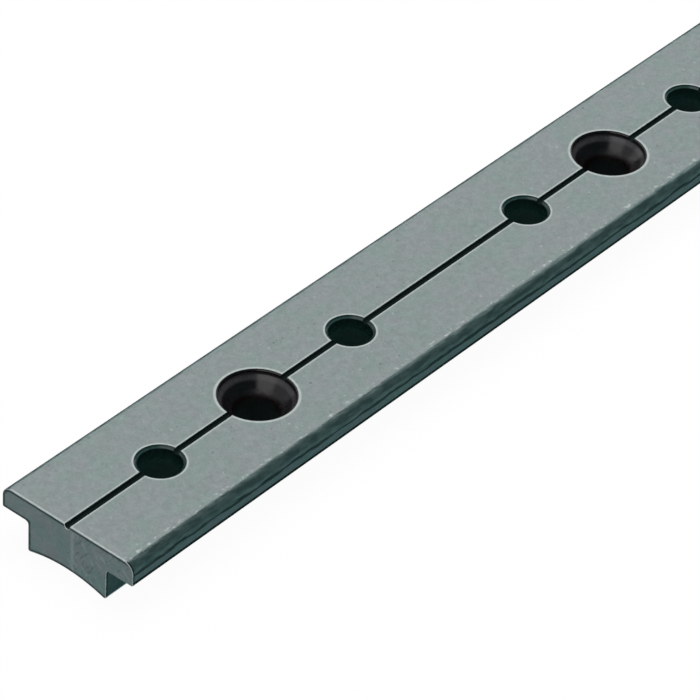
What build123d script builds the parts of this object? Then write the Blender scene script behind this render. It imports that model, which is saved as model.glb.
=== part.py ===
from build123d import *
import os

# A length of extruded aluminium T-track: a flat head with a scribed centre line,
# carried on a web whose underside is arched between two feet, and drilled along
# the centre line. X runs along the track, Y across it and Z up from the feet.
# The origin is under the middle of the track, at the level of its feet.

# Cut length and section
length = 996.0
head_width = 30.0
head_thickness = 4.6
web_width = 18.0
total_height = 11.0
arch_rise = 1.3
foot_width = 0.5

# Edges of the section
head_edge_radius = 2.0
head_lower_radius = 0.3
web_fillet = 0.7
foot_radius = 0.3

# Centre line groove in the head
groove_width = 1.2
groove_depth = 0.8

# Plain holes that the slider's stop pin drops into
stop_pitch = 50.0
stop_end_distance = 23.0
stop_diameter = 8.0
stop_chamfer = 0.45
chamfer_angle = 90.0

# Countersunk holes for the deck screws, one in every second space between stops.
# Each conical seat lies a little below the head's top, under a straight wall.
fastener_diameter = 8.4
seat_diameter = 14.5
seat_angle = 90.0
seat_sinking = 0.6
stops_per_fastener = 2

# Heights and half widths that follow from the section
web_height = total_height - head_thickness
half_head = head_width / 2
half_web = web_width / 2


def arch():
    """Circle that hollows the sole, from foot to foot, up to the arch's rise."""
    half_span = half_web - foot_width
    radius = (half_span**2 + arch_rise**2) / (2 * arch_rise)
    return Pos(0, arch_rise - radius) * Circle(radius)


def groove():
    """Slot with a round floor, open at the top of the head."""
    floor_radius = min(groove_width / 2, groove_depth)
    floor_centre = total_height - groove_depth + floor_radius
    slot = Pos(0, floor_centre) * Rectangle(
        groove_width, 2 * floor_radius, align=(Align.CENTER, Align.MIN)
    )
    return slot + Pos(0, floor_centre) * Circle(floor_radius)


def rounded(profile, y, z, radius):
    """The profile with its two corners at -y and +y, at height z, rounded."""
    corners = [
        v for v in profile.vertices()
        if abs(abs(v.X) - y) < 1e-6 and abs(v.Y - z) < 1e-6
    ]
    return fillet(corners, radius)


def section():
    """Section of the extrusion, drawn with Y across and Z up."""
    base = (Align.CENTER, Align.MIN)
    head = Pos(0, web_height) * Rectangle(head_width, head_thickness, align=base)
    web = Rectangle(web_width, web_height, align=base)
    profile = head + web
    profile = rounded(profile, half_head, total_height, head_edge_radius)
    profile = rounded(profile, half_head, web_height, head_lower_radius)
    profile = rounded(profile, half_web, web_height, web_fillet)
    profile = rounded(profile, half_web, 0, foot_radius)
    return profile - arch() - groove()


def stop_places():
    """Distances along X of the stop holes, counted from the -X end."""
    first = stop_end_distance - length / 2
    spaces = int((length - 2 * stop_end_distance) / stop_pitch + 1e-6)
    return [first + i * stop_pitch for i in range(spaces + 1)]


def fastener_places(stops):
    """Midpoints of every second space between stop holes."""
    spaces = list(zip(stops, stops[1:]))
    return [(a + b) / 2 for a, b in spaces[::stops_per_fastener]]


def drilled(bar, places, diameter, rim_diameter, rim_angle, sinking=0.0):
    """The bar with a row of through holes that open out in a cone at the top."""
    with BuildPart() as drilled_bar:
        add(bar)
        with Locations(*[(x, 0, total_height - sinking) for x in places]):
            CounterSinkHole(
                radius=diameter / 2,
                counter_sink_radius=rim_diameter / 2,
                counter_sink_angle=rim_angle,
            )
    return drilled_bar.part


def make_track():
    """The whole track: section extruded, then both rows of holes drilled."""
    bar = extrude(Plane.YZ.offset(-length / 2) * section(), amount=length)
    stops = stop_places()
    screws = fastener_places(stops)
    rim = stop_diameter + 2 * stop_chamfer
    bar = drilled(bar, stops, stop_diameter, rim, chamfer_angle)
    return drilled(
        bar, screws, fastener_diameter, seat_diameter, seat_angle, seat_sinking
    )


os.makedirs("parts", exist_ok=True)
track = make_track()
track.label = "track"
export_step(track, "parts/track.step")
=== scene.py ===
from math import cos, hypot, pi, radians, sin, tan

import bmesh
import bpy
from mathutils import Euler, Matrix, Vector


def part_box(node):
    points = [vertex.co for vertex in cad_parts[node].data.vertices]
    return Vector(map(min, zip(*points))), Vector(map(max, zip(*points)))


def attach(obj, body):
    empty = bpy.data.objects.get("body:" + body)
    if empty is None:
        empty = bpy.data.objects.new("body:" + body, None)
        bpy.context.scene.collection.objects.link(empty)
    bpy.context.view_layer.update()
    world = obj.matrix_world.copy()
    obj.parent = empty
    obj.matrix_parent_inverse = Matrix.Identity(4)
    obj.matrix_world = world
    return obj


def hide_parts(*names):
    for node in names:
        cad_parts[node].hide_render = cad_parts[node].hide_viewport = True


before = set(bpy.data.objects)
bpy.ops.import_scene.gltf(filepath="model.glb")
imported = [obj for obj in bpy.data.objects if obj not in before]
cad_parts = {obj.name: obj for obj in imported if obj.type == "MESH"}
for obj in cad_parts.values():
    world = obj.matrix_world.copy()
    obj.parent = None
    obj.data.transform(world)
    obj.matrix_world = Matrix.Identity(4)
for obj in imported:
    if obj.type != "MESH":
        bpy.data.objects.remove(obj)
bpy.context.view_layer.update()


# The track. One length of aluminium, extruded as a flat head on an arched web,
# sawn to length, drilled along its centre line, rumbled and then anodised.
# It is modelled as one 100 mm stretch, which is repeated and sawn off at both ends.
mm = 0.001
low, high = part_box("track")

track_length = high.x - low.x
head_width = high.y - low.y
height = high.z - low.z
head_thickness = 4.6 * mm
web_width = 18 * mm
web_height = height - head_thickness
head_edge_radius = 2 * mm
head_lower_radius = 0.3 * mm
web_fillet = 0.7 * mm
foot_radius = 0.3 * mm

pitch = 100 * mm
repeats = 10
saw_allowance = (repeats * pitch - track_length) / 2
stretch_start = low.x - saw_allowance
stretch_middle = stretch_start + pitch / 2

tolerance = 0.01 * mm
square_on = 0.99


def deselect():
    bpy.ops.object.select_all(action="DESELECT")


def select_only(piece):
    deselect()
    piece.select_set(True)
    bpy.context.view_layer.objects.active = piece


def select_edges(piece, wanted):
    """In edit mode, selects the edges that pass the test."""
    bpy.ops.mesh.select_mode(type="EDGE")
    bpy.ops.mesh.select_all(action="DESELECT")
    mesh = bmesh.from_edit_mesh(piece.data)
    for edge in mesh.edges:
        edge.select_set(wanted(edge))
    bmesh.update_edit_mesh(piece.data)


def select_faces(piece, wanted):
    """In edit mode, selects the faces that pass the test of centre and normal."""
    bpy.ops.mesh.select_mode(type="FACE")
    bpy.ops.mesh.select_all(action="DESELECT")
    mesh = bmesh.from_edit_mesh(piece.data)
    for face in mesh.faces:
        face.select_set(wanted(face.calc_center_median(), face.normal))
    bmesh.update_edit_mesh(piece.data)


def near(a, b):
    return abs(a - b) < tolerance


def round_corners(piece, y, z, radius, segments):
    """In edit mode, rounds the long edges of the section at -y and +y, at height z."""
    def at_corner(edge):
        start, stop = (vertex.co for vertex in edge.verts)
        placed = all(near(abs(at.y), y) and near(at.z, z) for at in (start, stop))
        return placed and not near(start.x, stop.x)

    select_edges(piece, at_corner)
    bpy.ops.mesh.bevel(offset=radius, segments=segments, profile=0.5)


deselect()
bpy.ops.mesh.primitive_cube_add(
    size=1,
    location=(stretch_middle, 0, height - head_thickness / 2),
    scale=(pitch, head_width, head_thickness),
)
track = bpy.context.object
track.name = "track_bar"
bpy.ops.object.transform_apply(location=True, rotation=True, scale=True)
bpy.ops.object.mode_set(mode="EDIT")
for side in (-1, 1):
    bpy.ops.mesh.select_all(action="SELECT")
    bpy.ops.mesh.bisect(plane_co=(0, side * web_width / 2, 0), plane_no=(0, 1, 0))
select_faces(
    track, lambda at, normal: normal.z < -square_on and abs(at.y) < web_width / 2
)
bpy.ops.mesh.extrude_region_move(
    TRANSFORM_OT_translate={"value": (0, 0, -web_height)}
)
round_corners(track, head_width / 2, height, head_edge_radius, segments=10)
round_corners(track, head_width / 2, web_height, head_lower_radius, segments=3)
round_corners(track, web_width / 2, web_height, web_fillet, segments=5)
round_corners(track, web_width / 2, 0, foot_radius, segments=3)
bpy.ops.object.mode_set(mode="OBJECT")


# The hollow of the sole and the scribed line. Both are drawn with the section: the
# arch leaves the track standing on two narrow feet, and the line marks the middle
# of the head. The line's lower corners are rounded until they nearly meet.
arch_rise = 1.3 * mm
arch_sides = 320
foot_width = 0.5 * mm
groove_width = 1.2 * mm
groove_depth = 0.8 * mm
groove_rounding = 0.49 * groove_width
cutter_overlap = 5 * mm


def cut_away(piece, cutter):
    """Takes the cutter's shape out of the piece."""
    select_only(piece)
    boolean = piece.modifiers.new("cut", "BOOLEAN")
    boolean.operation = "DIFFERENCE"
    boolean.solver = "EXACT"
    boolean.object = cutter
    bpy.ops.object.modifier_apply(modifier=boolean.name)
    bpy.data.objects.remove(cutter)


half_span = web_width / 2 - foot_width
arch_radius = (half_span**2 + arch_rise**2) / (2 * arch_rise)
deselect()
bpy.ops.mesh.primitive_cylinder_add(
    vertices=arch_sides,
    radius=arch_radius,
    depth=pitch + 2 * cutter_overlap,
    location=(stretch_middle, 0, arch_rise - arch_radius),
    rotation=(0, pi / 2, 0),
)
cut_away(track, bpy.context.object)

deselect()
bpy.ops.mesh.primitive_cube_add(
    size=1,
    location=(stretch_middle, 0, height),
    scale=(pitch + 2 * cutter_overlap, groove_width, 2 * groove_depth),
)
groove_cutter = bpy.context.object
bpy.ops.object.transform_apply(location=True, rotation=True, scale=True)
bpy.ops.object.mode_set(mode="EDIT")
groove_floor = height - groove_depth
round_corners(groove_cutter, groove_width / 2, groove_floor, groove_rounding, segments=8)
bpy.ops.object.mode_set(mode="OBJECT")
cut_away(track, groove_cutter)


# The holes. Stop holes every 50 mm take the slider's pin and have a small chamfer.
# Midway in every second space a deeper countersunk hole takes the deck screw, its
# conical seat a little below the head's top. All are drilled before anodising.
stop_radius = 4 * mm
stop_chamfer = 0.45 * mm
stop_sides = 72

seat_radius = 7.25 * mm
seat_sinking = 0.6 * mm
seat_slope = 45
seat_mouth_radius = 0.35 * mm
seat_throat_radius = 2 * mm
seat_sides = 96
fastener_radius = 4.2 * mm

drill_overlap = 1 * mm


def rounding(radius, centre, z, start_angle, steps):
    """Points down a rounding, as radius and height, until it runs straight down.

    The centre is given by its own radius and height, and the start by the angle
    that the rounding still has to turn.
    """
    points = []
    for step in range(steps + 1):
        angle = radians(start_angle * (1 - step / steps))
        points.append((centre - radius * cos(angle), z + radius * sin(angle)))
    return points


def turned_cutter(name, x, sides, outline):
    """A round cutter on a hole's axis. The outline is radius and height, top down."""
    radius, z = outline[0]
    deselect()
    bpy.ops.mesh.primitive_circle_add(
        vertices=sides, radius=radius, fill_type="NGON", location=(x, 0, z)
    )
    cutter = bpy.context.object
    cutter.name = name
    bpy.ops.object.transform_apply(location=True, rotation=True, scale=True)
    bpy.ops.object.mode_set(mode="EDIT")
    bpy.ops.mesh.select_all(action="SELECT")
    for next_radius, next_z in outline[1:]:
        bpy.ops.mesh.extrude_region_move(
            TRANSFORM_OT_translate={"value": (0, 0, next_z - z)}
        )
        growth = next_radius / radius
        bpy.ops.transform.resize(
            value=(growth, growth, 1), center_override=(x, 0, next_z)
        )
        radius, z = next_radius, next_z
    bpy.ops.mesh.select_all(action="SELECT")
    bpy.ops.mesh.normals_make_consistent(inside=False)
    bpy.ops.object.mode_set(mode="OBJECT")
    return cutter


stop_outline = [
    (stop_radius + stop_chamfer + drill_overlap, height + drill_overlap),
    (stop_radius, height - stop_chamfer),
    (stop_radius, -drill_overlap),
]

wall_foot = height - seat_sinking - seat_mouth_radius
bore_top = height - seat_sinking - (seat_radius - fastener_radius)
throat_foot = bore_top - seat_throat_radius * tan(radians(seat_slope / 2))
throat_centre = fastener_radius + seat_throat_radius
seat_outline = [
    (seat_radius, height + drill_overlap),
    *rounding(seat_mouth_radius, seat_radius, height - seat_mouth_radius, 90, steps=4),
    (seat_radius - seat_mouth_radius, wall_foot),
    *rounding(seat_throat_radius, throat_centre, throat_foot, seat_slope, steps=5),
    (fastener_radius, -drill_overlap),
]

for quarters in (1, 3):
    x = stretch_start + quarters * pitch / 4
    cut_away(track, turned_cutter("stop_drill", x, stop_sides, stop_outline))
cut_away(track, turned_cutter("screw_drill", stretch_middle, seat_sides, seat_outline))


# The full length. The open-ended stretch is repeated, welded where the stretches
# meet, and sawn square at both ends.
select_only(track)
bpy.ops.object.mode_set(mode="EDIT")
select_faces(track, lambda at, normal: (
    abs(normal.x) > square_on and near(abs(at.x - stretch_middle), pitch / 2)
))
bpy.ops.mesh.delete(type="FACE")
bpy.ops.object.mode_set(mode="OBJECT")
array = track.modifiers.new("repeat", "ARRAY")
array.count = repeats
array.use_relative_offset = False
array.use_constant_offset = True
array.constant_offset_displace = (pitch, 0, 0)
array.use_merge_vertices = True
array.merge_threshold = tolerance / 2
bpy.ops.object.modifier_apply(modifier=array.name)

bpy.ops.object.mode_set(mode="EDIT")
for end, outwards in ((low.x, -1), (high.x, 1)):
    bpy.ops.mesh.select_all(action="SELECT")
    bpy.ops.mesh.bisect(
        plane_co=(end, 0, 0), plane_no=(outwards, 0, 0), use_fill=True, clear_outer=True
    )
bpy.ops.mesh.select_all(action="SELECT")
bpy.ops.mesh.remove_doubles(threshold=tolerance / 5)
bpy.ops.mesh.select_all(action="SELECT")
bpy.ops.mesh.normals_make_consistent(inside=False)
bpy.ops.object.mode_set(mode="OBJECT")


# Finishes. The bar is satin grey from rumbling and anodising. The running face is
# cloudy, with specks and a painted highlight along its rims, and the flanks keep their
# die lines, the sawn ends their scratches. The holes and the scribed line are painted
# near black, as painted shade in the stop holes and the line. Painted shade also darkens
# the rounded edges, a line where they meet the flanks, the head's underside, the sawn
# ends' border and a band behind each end.
noise_low = 0.3
noise_high = 0.7
shoulder = head_width / 2 - head_edge_radius
# Painted shade: a near black for the bands behind the sawn ends and the sawn ends'
# border.
painted_shade_black = (0.02, 0.035, 0.035)


def new_material(name, metallic, roughness):
    """A new material: itself, its node tree, its shader and the place on the bar."""
    material = bpy.data.materials.new(name)
    material.use_nodes = True
    tree = material.node_tree
    shader = tree.nodes["Principled BSDF"]
    shader.inputs["Metallic"].default_value = metallic
    shader.inputs["Roughness"].default_value = roughness
    place = tree.nodes.new("ShaderNodeTexCoord").outputs["Object"]
    return material, tree, shader, place


def feed(tree, value, socket):
    """Links an output to a socket, or writes a number or a colour into it."""
    if isinstance(value, bpy.types.NodeSocket):
        tree.links.new(value, socket)
    elif socket.type == "RGBA":
        socket.default_value = (*value, 1)
    else:
        socket.default_value = value


def worked_out(tree, operation, *values):
    """The result of a math node."""
    node = tree.nodes.new("ShaderNodeMath")
    node.operation = operation
    for value, socket in zip(values, node.inputs):
        feed(tree, value, socket)
    return node.outputs[0]


def eased(tree, value, start, stop, at_start=0.0, at_stop=1.0):
    """Goes smoothly from one level to another while the value goes from start to stop."""
    node = tree.nodes.new("ShaderNodeMapRange")
    node.interpolation_type = "SMOOTHSTEP"
    for level, name in (
        (value, "Value"), (start, "From Min"), (stop, "From Max"),
        (at_start, "To Min"), (at_stop, "To Max"),
    ):
        feed(tree, level, node.inputs[name])
    return node.outputs["Result"]


def fading(tree, gap, full, gone, strength=1.0):
    """A strength that is full up to one distance and gone at another."""
    return eased(tree, gap, full, gone, strength, 0.0)


def peaks(tree, noise, start, full, strength=1.0):
    """A strength that starts where a noise passes one level and is full at another."""
    return eased(tree, noise, start, full, 0.0, strength)


def grains(tree, place, size, stretch=(1, 1, 1), turn=(0, 0, 0), detail=2.0):
    """Noise with grains of about that size in metres, drawn out and turned as given."""
    mapping = tree.nodes.new("ShaderNodeMapping")
    mapping.vector_type = "TEXTURE"
    mapping.inputs["Scale"].default_value = [size * factor for factor in stretch]
    mapping.inputs["Rotation"].default_value = turn
    tree.links.new(place, mapping.inputs["Vector"])
    noise = tree.nodes.new("ShaderNodeTexNoise")
    noise.inputs["Scale"].default_value = 1.0
    noise.inputs["Detail"].default_value = detail
    tree.links.new(mapping.outputs[0], noise.inputs["Vector"])
    return noise.outputs[0]


def spread(tree, noise, at_low=0.0, at_high=1.0):
    """Spreads a noise, over the range where it mostly lies, from one level to another."""
    return eased(tree, noise, noise_low, noise_high, at_low, at_high)


def specks(tree, place, spacing, radius):
    """Scattered round specks: dark ones near -1, bright ones near 1, and 0 between."""
    cells = tree.nodes.new("ShaderNodeTexVoronoi")
    cells.inputs["Scale"].default_value = 1 / spacing
    tree.links.new(place, cells.inputs["Vector"])
    chance = tree.nodes.new("ShaderNodeSeparateColor")
    tree.links.new(cells.outputs["Color"], chance.inputs[0])
    sign = spread(tree, chance.outputs[0], -1.0, 1.0)
    spot = fading(tree, cells.outputs["Distance"], full=0.0, gone=radius / spacing)
    return worked_out(tree, "MULTIPLY", sign, spot)


def blended(tree, share, first, second):
    """The first colour, with that share of the second."""
    node = tree.nodes.new("ShaderNodeMixRGB")
    for value, name in ((share, "Fac"), (first, "Color1"), (second, "Color2")):
        feed(tree, value, node.inputs[name])
    return node.outputs[0]


def shaded(tree, colour, factor):
    """The colour, lighter or darker by a factor."""
    node = tree.nodes.new("ShaderNodeVectorMath")
    node.operation = "SCALE"
    tree.links.new(colour, node.inputs[0])
    feed(tree, factor, node.inputs["Scale"])
    return node.outputs[0]


def mottled(tree, colour, noise, strength):
    """The colour, lighter or darker with a noise by up to that strength."""
    return shaded(tree, colour, spread(tree, noise, 1 - strength, 1 + strength))


def relief(tree, shader, pattern, depth):
    """Fine relief on the surface, from a pattern and its depth in metres."""
    bump = tree.nodes.new("ShaderNodeBump")
    bump.inputs["Strength"].default_value = 1.0
    bump.inputs["Distance"].default_value = depth
    tree.links.new(pattern, bump.inputs["Height"])
    tree.links.new(bump.outputs[0], shader.inputs["Normal"])


def coordinates(tree, place):
    """The place along, across and up the bar, as three numbers."""
    split = tree.nodes.new("ShaderNodeSeparateXYZ")
    tree.links.new(place, split.inputs[0])
    return split.outputs[0], split.outputs[1], split.outputs[2]


def distance(tree, a, b):
    """The length of the sloping side over a and b."""
    corner = tree.nodes.new("ShaderNodeCombineXYZ")
    feed(tree, a, corner.inputs[0])
    feed(tree, b, corner.inputs[1])
    length = tree.nodes.new("ShaderNodeVectorMath")
    length.operation = "LENGTH"
    tree.links.new(corner.outputs[0], length.inputs[0])
    return length.outputs["Value"]


def away_from(tree, value, level):
    """How far a value is from a level, to either side."""
    return worked_out(tree, "ABSOLUTE", worked_out(tree, "SUBTRACT", value, level))


def behind_end(tree, along):
    """How far a spot is from the nearer sawn end."""
    return worked_out(tree, "SUBTRACT", high.x, worked_out(tree, "ABSOLUTE", along))


def beyond_holes(tree, along, across):
    """How far a spot on the running face is outside the rim of the nearest hole."""
    gaps = []
    for first, spacing, rim in (
        (stretch_start + pitch / 4, pitch / 2, stop_radius + stop_chamfer),
        (stretch_middle, pitch, seat_radius),
    ):
        offset = worked_out(tree, "SUBTRACT", along, first)
        to_hole = worked_out(tree, "PINGPONG", offset, spacing / 2)
        gaps.append(worked_out(tree, "SUBTRACT", distance(tree, to_hole, across), rim))
    return worked_out(tree, "MINIMUM", *gaps)


def beyond_rims(tree, along, across):
    """How far a spot on the running face is from the nearest rim, line or sawn end.

    The rims of the holes count as a little wider than they are, because the painted
    highlight reaches further there.
    """
    hole_margin = 0.1 * mm
    to_line = worked_out(tree, "ABSOLUTE", across)
    from_line = worked_out(tree, "SUBTRACT", to_line, groove_width / 2)
    from_edge = worked_out(tree, "MINIMUM", from_line, behind_end(tree, along))
    beyond = beyond_holes(tree, along, across)
    from_hole = worked_out(tree, "SUBTRACT", beyond, hole_margin)
    return worked_out(tree, "MINIMUM", from_edge, from_hole)


def inside_border(tree, across, up):
    """How far a spot of a sawn end is inside its top, its left flank or its sole."""
    flank = worked_out(tree, "SUBTRACT", across, shoulder)
    crown = worked_out(tree, "SUBTRACT", up, height - head_edge_radius)
    over = distance(
        tree,
        worked_out(tree, "MAXIMUM", flank, 0.0),
        worked_out(tree, "MAXIMUM", crown, 0.0),
    )
    under = worked_out(tree, "MINIMUM", worked_out(tree, "MAXIMUM", flank, crown), 0.0)
    from_head = worked_out(
        tree, "SUBTRACT", head_edge_radius, worked_out(tree, "ADD", over, under)
    )
    beside = worked_out(tree, "SUBTRACT", web_width / 2, across)
    above_step = worked_out(tree, "SUBTRACT", up, web_height)
    from_step = distance(
        tree,
        worked_out(tree, "MAXIMUM", beside, 0.0),
        worked_out(tree, "MAXIMUM", above_step, 0.0),
    )
    from_centre = distance(
        tree, across, worked_out(tree, "SUBTRACT", up, arch_rise - arch_radius)
    )
    from_arch = worked_out(tree, "SUBTRACT", from_centre, arch_radius)
    nearest = worked_out(tree, "MINIMUM", from_head, from_step)
    return worked_out(tree, "MINIMUM", nearest, from_arch)


def sawn_end_shade(tree, along):
    """A narrow band of painted shade round the bar, just behind each of its sawn ends."""
    gap = behind_end(tree, along)
    return fading(tree, gap, full=0.3 * mm, gone=0.55 * mm, strength=0.85)


def with_shade_line(tree, place, up, colour):
    """The colour, with an uneven dark line of painted shade where the rounded edge meets
    the flank.
    """
    shade_line_black = (0.015, 0.032, 0.036)
    shade_line_drop = 0.05 * mm
    most_waver = 0.22 * mm
    wander = grains(tree, place, 0.9 * mm, stretch=(5, 1, 1), detail=3.0)
    waver = spread(tree, wander, -most_waver, most_waver)
    shade_line = worked_out(tree, "ADD", waver, high.z - head_edge_radius - shade_line_drop)
    off_shade_line = away_from(tree, up, shade_line)
    dark = fading(tree, off_shade_line, full=0.1 * mm, gone=0.45 * mm, strength=0.85)
    return blended(tree, dark, colour, shade_line_black)


def cloudy_grey(tree, place, green_grey, violet_grey):
    """Anodised grey: two tones in clouds some millimetres wide, with a fine grain."""
    cloud_size = 4.5 * mm
    grain_sizes = (1.6 * mm, 0.4 * mm)
    grain_strength = 0.045

    tone = eased(tree, grains(tree, place, cloud_size), 0.36, 0.64)
    colour = blended(tree, tone, green_grey, violet_grey)
    for size in grain_sizes:
        colour = mottled(tree, colour, grains(tree, place, size), grain_strength)
    return colour


def with_specks(tree, place, colour):
    """The colour, with dark and bright specks of two sizes."""
    large = (3.2 * mm, 0.4 * mm, 0.5)
    small = (1.7 * mm, 0.28 * mm, 0.32)
    for spacing, radius, strength in (large, small):
        spot = specks(tree, place, spacing, radius)
        factor = worked_out(tree, "MULTIPLY_ADD", spot, strength, 1.0)
        colour = shaded(tree, colour, factor)
    return colour


def with_scratches(tree, place, colour):
    """The colour, with faint short scratches that all slant one way over the bar."""
    scratch_grey = (0.44, 0.49, 0.48)
    scratch_width = 0.16 * mm
    slant = radians(-38)
    marks = grains(
        tree, place, scratch_width, stretch=(1, 14, 1), turn=(0, 0, slant), detail=0.0
    )
    scratched = peaks(tree, marks, start=0.76, full=0.82, strength=0.4)
    return blended(tree, scratched, colour, scratch_grey)


def with_rim_highlights(tree, place, along, across, on_round, colour):
    """The colour, with a pale, patchy painted highlight along the rims of the flat part
    of the running face.
    """
    rim_highlight_grey = (0.51, 0.57, 0.555)
    beyond = beyond_rims(tree, along, across)
    rim = fading(tree, beyond, full=0.2 * mm, gone=0.5 * mm)
    patches = grains(tree, place, 0.7 * mm)
    patchiness = spread(tree, patches, at_low=0.75, at_high=1.0)
    flat = worked_out(tree, "SUBTRACT", patchiness, on_round)
    pale_paint = worked_out(tree, "MULTIPLY", rim, worked_out(tree, "MAXIMUM", flat, 0.0))
    return blended(tree, pale_paint, colour, rim_highlight_grey)


def with_shoulder_highlight(tree, place, across, colour):
    """The colour, with pale flecks of painted highlight where the right-hand rounded edge
    begins.
    """
    shoulder_highlight_grey = (0.47, 0.53, 0.52)
    off_shoulder = away_from(tree, across, -shoulder)
    near_shoulder = fading(tree, off_shoulder, full=0.1 * mm, gone=0.9 * mm)
    patches = grains(tree, place, 0.6 * mm, stretch=(1.6, 1, 1))
    flecks = peaks(tree, patches, start=0.57, full=0.69)
    highlighted = worked_out(tree, "MULTIPLY", near_shoulder, flecks)
    return blended(tree, highlighted, colour, shoulder_highlight_grey)


def rumbled_finish():
    """The running face and the rounded edges of the head."""
    green_grey = (0.258, 0.321, 0.310)
    violet_grey = (0.283, 0.316, 0.319)
    round_shade_dark = (0.165, 0.25, 0.245)
    round_shade_pale = (0.28, 0.385, 0.375)

    material, tree, shader, place = new_material(
        "rumbled_grey", metallic=0.9, roughness=0.35
    )
    along, across, up = coordinates(tree, place)
    to_line = worked_out(tree, "ABSOLUTE", across)
    on_round = eased(tree, to_line, shoulder + 0.1 * mm, shoulder + 0.8 * mm)

    colour = cloudy_grey(tree, place, green_grey, violet_grey)
    colour = with_specks(tree, place, colour)
    colour = with_scratches(tree, place, colour)
    # Painted shade: the rounded edges get a darker teal, in streaky mottles.
    mottle = grains(tree, place, 0.7 * mm, stretch=(4, 1, 1), detail=3.0)
    round_shade_grey = blended(tree, eased(tree, mottle, 0.35, 0.65), round_shade_dark, round_shade_pale)
    colour = blended(tree, on_round, colour, round_shade_grey)
    # Painted shade: a dark line where the rounded edge meets the flank.
    colour = with_shade_line(tree, place, up, colour)
    # Painted highlight: pale rims round the holes, along the line and at the sawn ends.
    colour = with_rim_highlights(tree, place, along, across, on_round, colour)
    # Painted highlight: pale flecks where the right-hand rounded edge begins.
    colour = with_shoulder_highlight(tree, place, across, colour)
    # Painted shade on the rounded edges just behind each sawn end.
    end_shade = worked_out(tree, "MULTIPLY", sawn_end_shade(tree, along), on_round)
    colour = blended(tree, end_shade, colour, painted_shade_black)
    feed(tree, colour, shader.inputs["Base Color"])

    dull = spread(tree, grains(tree, place, 1.1 * mm), at_low=0.28, at_high=0.38)
    feed(tree, dull, shader.inputs["Roughness"])
    waves = grains(tree, place, 0.9 * mm, stretch=(4, 1, 1), detail=3.0)
    share = eased(
        tree, to_line, shoulder - 0.3 * mm, shoulder + 0.5 * mm, at_start=0.1
    )
    waves = worked_out(tree, "MULTIPLY", waves, share)
    relief(tree, shader, waves, depth=0.12 * mm)
    return material


def drawn_finish():
    """The flanks, the web and the sole, with the die's lines along the bar."""
    green_grey = (0.235, 0.335, 0.33)
    violet_grey = (0.265, 0.325, 0.35)
    under_head_shade = (0.004, 0.010, 0.010)

    material, tree, shader, place = new_material(
        "drawn_grey", metallic=0.9, roughness=0.3
    )
    along, _, up = coordinates(tree, place)
    lines = grains(tree, place, 0.3 * mm, stretch=(250, 1, 1), detail=3.0)
    colour = cloudy_grey(tree, place, green_grey, violet_grey)
    colour = mottled(tree, colour, lines, strength=0.07)
    # Painted shade: a dark line where the rounded edge meets the flank.
    colour = with_shade_line(tree, place, up, colour)
    # Painted shade: a dark band along the head's underside and its lower roundings.
    off_head_underside = away_from(tree, up, web_height)
    under_head = fading(tree, off_head_underside, full=0.7 * mm, gone=0.95 * mm)
    colour = blended(tree, under_head, colour, under_head_shade)
    colour = blended(tree, sawn_end_shade(tree, along), colour, painted_shade_black)
    feed(tree, colour, shader.inputs["Base Color"])
    dull = spread(tree, lines, at_low=0.26, at_high=0.34)
    feed(tree, dull, shader.inputs["Roughness"])
    relief(tree, shader, lines, depth=0.02 * mm)
    return material


def sawn_finish():
    """The sawn ends: scratched across, with painted shade along the border, with a few
    nicks.
    """
    green_grey = (0.225, 0.305, 0.29)
    violet_grey = (0.285, 0.305, 0.31)
    dark_marks = (0.10, 0.15, 0.145)
    pale_marks = (0.45, 0.50, 0.49)
    streak_grey = (0.45, 0.50, 0.50)
    nick_grey = (0.50, 0.55, 0.55)
    cut_slant = radians(-20)
    streak_place = -1.2 * mm

    material, tree, shader, place = new_material("sawn_end", metallic=0.9, roughness=0.4)
    _, across, up = coordinates(tree, place)
    cuts = grains(
        tree, place, 0.3 * mm, stretch=(1, 12, 1), turn=(cut_slant, 0, 0), detail=3.0
    )
    colour = cloudy_grey(tree, place, green_grey, violet_grey)
    colour = mottled(tree, colour, cuts, strength=0.04)

    right_half = eased(
        tree, across, -1.5 * mm, 0.5 * mm, at_start=1.0, at_stop=0.15
    )
    for slant, marked in ((35, dark_marks), (-40, pale_marks)):
        marks = grains(
            tree, place, 0.45 * mm, stretch=(1, 1, 6), turn=(radians(slant), 0, 0)
        )
        scratched = peaks(tree, marks, start=0.57, full=0.68, strength=0.55)
        scratched = worked_out(tree, "MULTIPLY", scratched, right_half)
        colour = blended(tree, scratched, colour, marked)

    off_streak = away_from(tree, across, streak_place)
    pale = fading(tree, off_streak, full=0.1 * mm, gone=0.6 * mm, strength=0.45)
    colour = blended(tree, pale, colour, streak_grey)
    spots = grains(tree, place, 0.7 * mm, detail=1.0)
    nicks = peaks(tree, spots, start=0.74, full=0.8, strength=0.6)
    colour = blended(tree, nicks, colour, nick_grey)

    # Painted shade: a dark border along the top, the left flank and the sole.
    shade = spread(tree, grains(tree, place, 0.8 * mm), at_low=0.7, at_high=1.0)
    inside = inside_border(tree, across, up)
    border = fading(tree, inside, full=0.42 * mm, gone=0.75 * mm, strength=0.92)
    dark = worked_out(tree, "MULTIPLY", border, shade)
    colour = blended(tree, dark, colour, painted_shade_black)
    feed(tree, colour, shader.inputs["Base Color"])
    dull = spread(tree, cuts, at_low=0.36, at_high=0.44)
    feed(tree, dull, shader.inputs["Roughness"])
    relief(tree, shader, cuts, depth=0.01 * mm)
    return material


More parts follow.
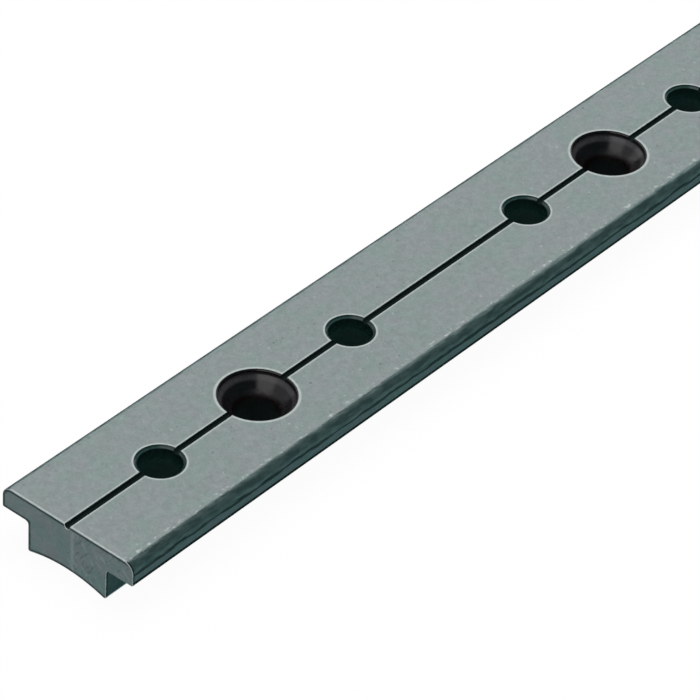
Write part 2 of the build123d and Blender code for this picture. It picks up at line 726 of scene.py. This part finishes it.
def dark_hole_finish(
    name, roughness, specular, shallow, deep, turning, pale_paint, pale_ring_depth, pale_ring_reach
):
    """A hole painted near black, with one tone near the top and another deep down.

    The tone turns from one to the other between two depths under the running face.
    Round the mouth a paler ring is painted as a painted highlight, which is full to the
    first reach above and below its own depth and gone at the second. Deep down it is
    duller.
    """
    material, tree, shader, place = new_material(name, metallic=0.0, roughness=roughness)
    shader.inputs["Specular IOR Level"].default_value = specular
    _, _, up = coordinates(tree, place)
    depth = worked_out(tree, "SUBTRACT", high.z, up)
    colour = blended(tree, eased(tree, depth, *turning), shallow, deep)
    off_ring = away_from(tree, depth, pale_ring_depth)
    ring = fading(tree, off_ring, *pale_ring_reach, strength=0.9)
    colour = blended(tree, ring, colour, pale_paint)
    colour = mottled(tree, colour, grains(tree, place, 0.9 * mm), strength=0.15)
    feed(tree, colour, shader.inputs["Base Color"])
    patches = grains(tree, place, 0.6 * mm)
    dull = spread(tree, patches, 0.8 * roughness, 1.2 * roughness)
    duller = eased(tree, depth, 2.4 * mm, 3.6 * mm, at_start=1.0, at_stop=2.5)
    dull = worked_out(tree, "MULTIPLY", dull, duller)
    feed(tree, dull, shader.inputs["Roughness"])
    return material


def groove_finish():
    """Dull near-black paint in the scribed line, as painted shade."""
    deepest_shade_black = (0.003, 0.009, 0.008)
    lighter_shade_black = (0.005, 0.013, 0.012)
    material, tree, shader, place = new_material(
        "groove_black", metallic=0.0, roughness=0.7
    )
    shader.inputs["Specular IOR Level"].default_value = 0.15
    patches = spread(tree, grains(tree, place, 0.9 * mm))
    colour = blended(tree, patches, deepest_shade_black, lighter_shade_black)
    feed(tree, colour, shader.inputs["Base Color"])
    return material


def edge_highlight_finish():
    """The small roundings along the edges, rubbed and painted nearly bright as an edge
    highlight.
    """
    dull_grey = (0.42, 0.48, 0.47)
    bright_grey = (0.62, 0.67, 0.66)
    material, tree, shader, place = new_material(
        "bright_edge_paint", metallic=0.9, roughness=0.3
    )
    patchiness = spread(tree, grains(tree, place, 0.8 * mm))
    colour = blended(tree, patchiness, dull_grey, bright_grey)
    feed(tree, colour, shader.inputs["Base Color"])
    return material


finishes = {
    "rumbled": rumbled_finish(),
    "drawn": drawn_finish(),
    "sawn": sawn_finish(),
    "groove": groove_finish(),
    # The stop holes: painted shade, with lighter paint deep down and a paler painted
    # highlight ring at the chamfer.
    "bore": dark_hole_finish(
        "bore_black",
        roughness=0.22,
        specular=0.4,
        shallow=(0.006, 0.022, 0.019),
        deep=(0.016, 0.064, 0.053),
        turning=(0.8 * mm, 3.5 * mm),
        pale_paint=(0.030, 0.068, 0.063),
        pale_ring_depth=0.33 * mm,
        pale_ring_reach=(0.06 * mm, 0.2 * mm),
    ),
    # The screw seat: near black, darkest and reddish deep down, with a paler ring round
    # its mouth as painted highlight.
    "seat": dark_hole_finish(
        "seat_black",
        roughness=0.2,
        specular=0.5,
        shallow=(0.005, 0.004, 0.005),
        deep=(0.008, 0.001, 0.001),
        turning=(3.6 * mm, 3.7 * mm),
        pale_paint=(0.040, 0.038, 0.042),
        pale_ring_depth=1.1 * mm,
        pale_ring_reach=(0.3 * mm, 0.8 * mm),
    ),
    "edge": edge_highlight_finish(),
}
for material in finishes.values():
    track.data.materials.append(material)
order = {name: index for index, name in enumerate(finishes)}


def hole_finish_of(centre, reach):
    """The black finish of a face in or at the rim of a hole or the line, or None."""
    from_start = centre.x - stretch_start
    from_stop = hypot(from_start % (pitch / 2) - pitch / 4, centre.y)
    from_seat = hypot(from_start % pitch - pitch / 2, centre.y)
    if from_seat < seat_radius + reach:
        return "seat"
    if from_stop < stop_radius + stop_chamfer + reach:
        return "bore"
    if abs(centre.y) < groove_width / 2 + reach and centre.z > groove_floor - reach:
        return "groove"
    return None


def finish_of(centre, normal):
    """The finish of a face of the bar, by where it lies."""
    if abs(normal.x) > square_on and near(abs(centre.x), high.x):
        return "sawn"
    if centre.z < height - tolerance:
        black = hole_finish_of(centre, 2 * tolerance)
        if black:
            return black
    if centre.z > height - head_edge_radius:
        return "rumbled"
    return "drawn"


for face in track.data.polygons:
    face.material_index = order[finish_of(face.center, face.normal)]


# The broken edges. Rumbling takes the sharpness off every edge that its stones reach,
# and these small roundings are painted bright as an edge highlight, but those at the
# holes' rims keep the holes' near black. Edges inside the line and under the arch stay
# sharp, and the shading keeps them so.
edge_break = 0.12 * mm
rim_reach = 1.2 * edge_break
sharp_angle = radians(35)


def is_sharp(edge):
    return edge.calc_face_angle(0) > sharp_angle


def is_reached(edge):
    """Whether rumbling reaches an edge, by where it lies."""
    start, stop = (vertex.co for vertex in edge.verts)
    if near(abs(start.x), high.x) and near(abs(stop.x), high.x):
        return True
    middle = (start + stop) / 2
    in_line = abs(middle.y) < groove_width / 2 + tolerance and not near(middle.z, height)
    in_arch = middle.z < arch_rise + tolerance
    return not in_line and not in_arch


select_only(track)
bpy.ops.object.mode_set(mode="EDIT")
select_edges(track, lambda edge: is_sharp(edge) and not is_reached(edge))
bpy.ops.mesh.mark_sharp()
select_edges(track, lambda edge: is_sharp(edge) and is_reached(edge))
bpy.ops.mesh.bevel(offset=edge_break, segments=2, profile=0.5, material=order["edge"])
bpy.ops.object.mode_set(mode="OBJECT")
for face in track.data.polygons:
    if face.material_index == order["edge"]:
        black = hole_finish_of(face.center, rim_reach)
        if black in ("bore", "seat"):
            face.material_index = order[black]
bpy.ops.object.shade_smooth()
normals = track.modifiers.new("flat_faces", "WEIGHTED_NORMAL")
normals.mode = "FACE_AREA"
normals.weight = 80
normals.keep_sharp = True
bpy.ops.object.modifier_apply(modifier=normals.name)

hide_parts("track")
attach(track, "root")


# The floor. Cameras and mirrors see it nearly white, by its own glow, and the rest
# is a matt white that takes the track's soft shadow.
floor_size = 6.0
floor_glow = 0.96


def seen_directly(tree, rays):
    """1 for a ray from the camera or from a mirroring surface, else 0."""
    return worked_out(
        tree, "MAXIMUM", rays.outputs["Is Camera Ray"], rays.outputs["Is Glossy Ray"]
    )


deselect()
bpy.ops.mesh.primitive_plane_add(size=floor_size, location=(0, 0, low.z))
floor = bpy.context.object
floor.name = "floor"
material, tree, shader, _ = new_material("white_floor", metallic=0.0, roughness=0.9)
shader.inputs["Base Color"].default_value = (0.9, 0.9, 0.9, 1)
shader.inputs["Specular IOR Level"].default_value = 0.0
glow = tree.nodes.new("ShaderNodeEmission")
glow.inputs["Strength"].default_value = 1.0
rays = tree.nodes.new("ShaderNodeLightPath")
share = worked_out(tree, "MULTIPLY", seen_directly(tree, rays), floor_glow)
blend = tree.nodes.new("ShaderNodeMixShader")
tree.links.new(share, blend.inputs[0])
tree.links.new(shader.outputs[0], blend.inputs[1])
tree.links.new(glow.outputs[0], blend.inputs[2])
tree.links.new(blend.outputs[0], tree.nodes["Material Output"].inputs["Surface"])
floor.data.materials.append(material)


# The light. A white surround, weaker as a light than it looks, and one broad soft
# lamp overhead, as for a catalogue.
surround_light = 0.45
surround_look = 1.0

world = bpy.data.worlds.new("white_surround")
bpy.context.scene.world = world
world.use_nodes = True
tree = world.node_tree
rays = tree.nodes.new("ShaderNodeLightPath")
seen = worked_out(
    tree, "MAXIMUM", seen_directly(tree, rays), rays.outputs["Is Transmission Ray"]
)
strength = worked_out(
    tree, "MULTIPLY_ADD", seen, surround_look - surround_light, surround_light
)
background = tree.nodes["Background"]
background.inputs["Color"].default_value = (1, 1, 1, 1)
tree.links.new(strength, background.inputs["Strength"])

bpy.ops.object.light_add(type="AREA", location=(0.1, 0.2, 1.6))
lamp = bpy.context.object
lamp.name = "overhead_lamp"
lamp.data.shape = "DISK"
lamp.data.size = 1.6
lamp.data.energy = 24.3
lamp.visible_glossy = False


# The cards. Grey and dark cards stand and lie round the track, only to be mirrored
# in it: they give the bare metal its teal and dark tones, as a studio's flags do.
upright = (pi / 2, 0, 0)
beside = 0.15
further_out = 0.3
first_layer = 0.2 * mm
second_layer = 0.3 * mm
third_layer = 0.4 * mm


def reflected_card(name, colour, size, location, rotation=(0, 0, 0)):
    """A card that only shows in reflections."""
    deselect()
    bpy.ops.mesh.primitive_plane_add(size=1, location=location, rotation=rotation)
    card = bpy.context.object
    card.name = name
    card.scale = (*size, 1)
    material, tree, _, _ = new_material(name, metallic=0.0, roughness=1.0)
    tone = tree.nodes.new("ShaderNodeEmission")
    tone.inputs["Color"].default_value = (*colour, 1)
    tree.links.new(tone.outputs[0], tree.nodes["Material Output"].inputs["Surface"])
    card.data.materials.append(material)
    card.visible_camera = False
    card.visible_diffuse = False
    card.visible_transmission = False
    card.visible_volume_scatter = False
    card.visible_shadow = False


lying_size = (track_length + 0.6, 0.3)
reflected_card(
    "grey_card_right",
    colour=(0.115, 0.195, 0.19),
    size=lying_size,
    location=(0.15, low.y - beside, first_layer),
)
reflected_card(
    "grey_card_left",
    colour=(0.10, 0.12, 0.12),
    size=lying_size,
    location=(0.15, high.y + beside, first_layer),
)
reflected_card(
    "grey_card_end",
    colour=(0.36, 0.43, 0.44),
    size=(0.3, 0.6),
    location=(low.x - beside, 0, second_layer),
)
# Painted shadow: this card stands, in reflections only, for the floor in shade under the
# track.
reflected_card(
    "shadow_card_under",
    colour=(0.045, 0.105, 0.10),
    size=(track_length, head_width),
    location=(0, 0, third_layer),
)
reflected_card(
    "dark_card_right",
    colour=(0.025, 0.065, 0.065),
    size=(3.3, 1.7),
    location=(0.86, low.y - further_out, 0.85),
    rotation=upright,
)
reflected_card(
    "dark_card_left",
    colour=(0.09, 0.10, 0.10),
    size=(3.2, 0.09),
    location=(0.9, high.y + further_out, 0.045),
    rotation=upright,
)
reflected_card(
    "grey_card_near",
    colour=(0.5, 0.5, 0.53),
    size=(0.8, 0.8),
    location=(-0.9, high.y + further_out, 0.4),
    rotation=upright,
)
reflected_card(
    "dark_card_over",
    colour=(0.04, 0.06, 0.06),
    size=(1.5, 0.8),
    location=(-0.1, -0.05, 1.2),
)
reflected_card(
    "grey_card_over",
    colour=(1.3, 1.3, 1.3),
    size=(1.0, 1.8),
    location=(-1.45, 0.1, 1.0),
)


# The camera. It looks down along the track from over its near end, through a long
# lens, and is turned a little on its axis.
heading = radians(38.249)
tilt = radians(38.514)
roll = radians(3.624)

camera_data = bpy.data.cameras.new("camera")
camera = bpy.data.objects.new("camera", camera_data)
bpy.context.scene.collection.objects.link(camera)
camera_data.lens = 219.05
camera_data.clip_start = 0.01
camera.location = (-0.89148, -0.3679, 0.47939)
turn = Euler((pi / 2 - tilt, 0, heading - pi / 2)).to_matrix()
camera.rotation_euler = (turn @ Matrix.Rotation(roll, 3, "Z")).to_euler()
bpy.context.scene.camera = camera

bpy.context.scene.view_settings.view_transform = "Standard"
